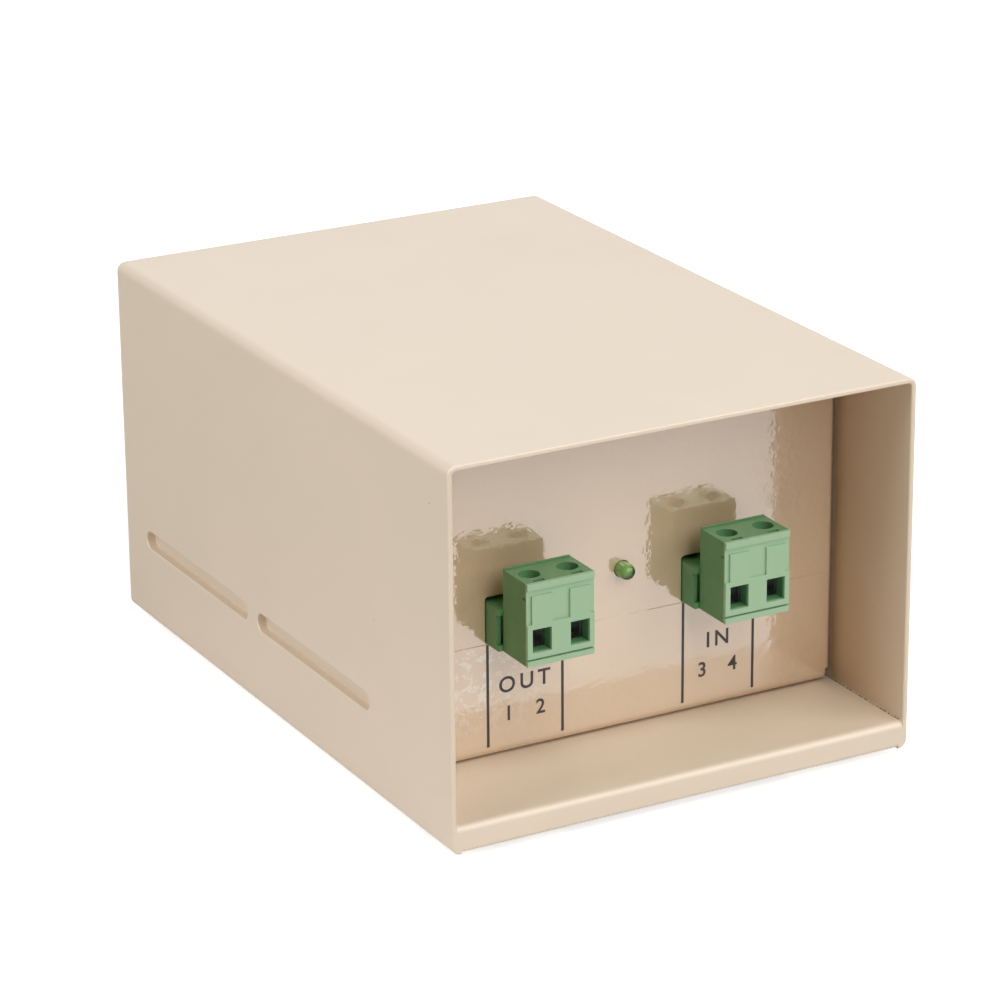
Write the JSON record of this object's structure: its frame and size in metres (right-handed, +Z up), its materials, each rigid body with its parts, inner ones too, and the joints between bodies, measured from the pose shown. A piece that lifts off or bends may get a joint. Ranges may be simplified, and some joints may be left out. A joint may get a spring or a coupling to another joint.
{
  "type": "outdoor power supply",
  "caption": "Folded steel box with an open hooded front, a recessed panel with two pluggable screw terminals and a lamp, and a transformer inside.",
  "frame": {"origin": "middle of the case, on the surface that the four feet stand on", "axes": "+Z up; the open front with the terminals faces -Y; +X to the right seen from the front"},
  "size_m": [0.094, 0.1354, 0.0727],
  "materials": {
    "case_paint": "satin",
    "panel_paint": "gloss",
    "foot_rubber": "matte",
    "label_film": "gloss",
    "terminal_green": "satin",
    "tinned_copper": "satin",
    "zinc_steel": "satin",
    "lamp_green": "gloss",
    "board_laminate": "satin",
    "fuse_glass": "gloss",
    "fuse_metal": "gloss",
    "resistor_coat": "satin",
    "diode_coat": "satin",
    "core_steel": "satin",
    "bobbin_nylon": "satin",
    "winding_copper": "satin",
    "winding_tape": "satin",
    "primary_insulation": "satin",
    "secondary_insulation": "satin"
  },
  "bodies": {
    "case": {"board_posts": "zinc_steel", "board_screws": "zinc_steel", "chassis": "panel_paint", "chassis_nuts": "zinc_steel", "chassis_screws": "zinc_steel", "circuit_board": "board_laminate", "coil_bobbin": "bobbin_nylon", "core_clamp": "zinc_steel", "floor_pan": "case_paint", "foot_front_left": "foot_rubber", "foot_front_right": "foot_rubber", "foot_rear_left": "foot_rubber", "foot_rear_right": "foot_rubber", "fuse_caps": "fuse_metal", "fuse_clips": "tinned_copper", "fuse_glass": "fuse_glass", "fuse_wire": "fuse_metal", "hood": "case_paint", "input_header": "terminal_green", "input_header_pins": "tinned_copper", "led_diode": "diode_coat", "led_leads": "tinned_copper", "led_lens": "lamp_green", "led_resistor": "resistor_coat", "output_header": "terminal_green", "output_header_pins": "tinned_copper", "panel_label": "label_film", "primary_lead_left": "primary_insulation", "primary_lead_right": "primary_insulation", "primary_tape": "winding_tape", "primary_winding": "winding_copper", "rear_panel": "case_paint", "rear_panel_nuts": "zinc_steel", "rear_panel_screws": "zinc_steel", "secondary_lead_left": "secondary_insulation", "secondary_lead_right": "secondary_insulation", "secondary_tape": "winding_tape", "secondary_winding": "winding_copper", "transformer_core": "core_steel", "transformer_nuts": "zinc_steel", "transformer_studs": "zinc_steel"},
    "output_plug": {"output_plug": "terminal_green", "output_contact_left": "tinned_copper", "output_contact_right": "tinned_copper"},
    "output_screw_left": {"output_screw_left": "zinc_steel"},
    "output_clamp_left": {"output_clamp_left": "zinc_steel"},
    "output_screw_right": {"output_screw_right": "zinc_steel"},
    "output_clamp_right": {"output_clamp_right": "zinc_steel"},
    "input_plug": {"input_plug": "terminal_green", "input_contact_left": "tinned_copper", "input_contact_right": "tinned_copper"},
    "input_screw_left": {"input_screw_left": "zinc_steel"},
    "input_clamp_left": {"input_clamp_left": "zinc_steel"},
    "input_screw_right": {"input_screw_right": "zinc_steel"},
    "input_clamp_right": {"input_clamp_right": "zinc_steel"}
  },
  "joints": [
    {"name": "output_plug_pull", "type": "slide", "parent": "case", "child": "output_plug", "axis": [0, -1, 0], "range_m": [0, 0.012]},
    {"name": "output_clamp_left_rise", "type": "slide", "parent": "output_plug", "child": "output_clamp_left", "axis": [0, 0, 1], "range_m": [0, 0.0035]},
    {"name": "output_screw_left_turn", "type": "hinge", "parent": "output_plug", "child": "output_screw_left", "pos_m": [-0.02396, -0.05405, 0.04465], "axis": [0, 0, -1], "range_deg": [0, 2520]},
    {"name": "output_clamp_right_rise", "type": "slide", "parent": "output_plug", "child": "output_clamp_right", "axis": [0, 0, 1], "range_m": [0, 0.0035]},
    {"name": "output_screw_right_turn", "type": "hinge", "parent": "output_plug", "child": "output_screw_right", "pos_m": [-0.01634, -0.05405, 0.04465], "axis": [0, 0, -1], "range_deg": [0, 2520]},
    {"name": "input_plug_pull", "type": "slide", "parent": "case", "child": "input_plug", "axis": [0, -1, 0], "range_m": [0, 0.012]},
    {"name": "input_clamp_left_rise", "type": "slide", "parent": "input_plug", "child": "input_clamp_left", "axis": [0, 0, 1], "range_m": [0, 0.0035]},
    {"name": "input_screw_left_turn", "type": "hinge", "parent": "input_plug", "child": "input_screw_left", "pos_m": [0.01634, -0.05405, 0.04465], "axis": [0, 0, -1], "range_deg": [0, 2520]},
    {"name": "input_clamp_right_rise", "type": "slide", "parent": "input_plug", "child": "input_clamp_right", "axis": [0, 0, 1], "range_m": [0, 0.0035]},
    {"name": "input_screw_right_turn", "type": "hinge", "parent": "input_plug", "child": "input_screw_right", "pos_m": [0.02396, -0.05405, 0.04465], "axis": [0, 0, -1], "range_deg": [0, 2520]}
  ],
  "couplings": [
    {"joint": "output_screw_left_turn", "follows": "output_clamp_left_rise", "rad_per_m": 12566},
    {"joint": "output_screw_right_turn", "follows": "output_clamp_right_rise", "rad_per_m": 12566},
    {"joint": "input_screw_left_turn", "follows": "input_clamp_left_rise", "rad_per_m": 12566},
    {"joint": "input_screw_right_turn", "follows": "input_clamp_right_rise", "rad_per_m": 12566}
  ]
}
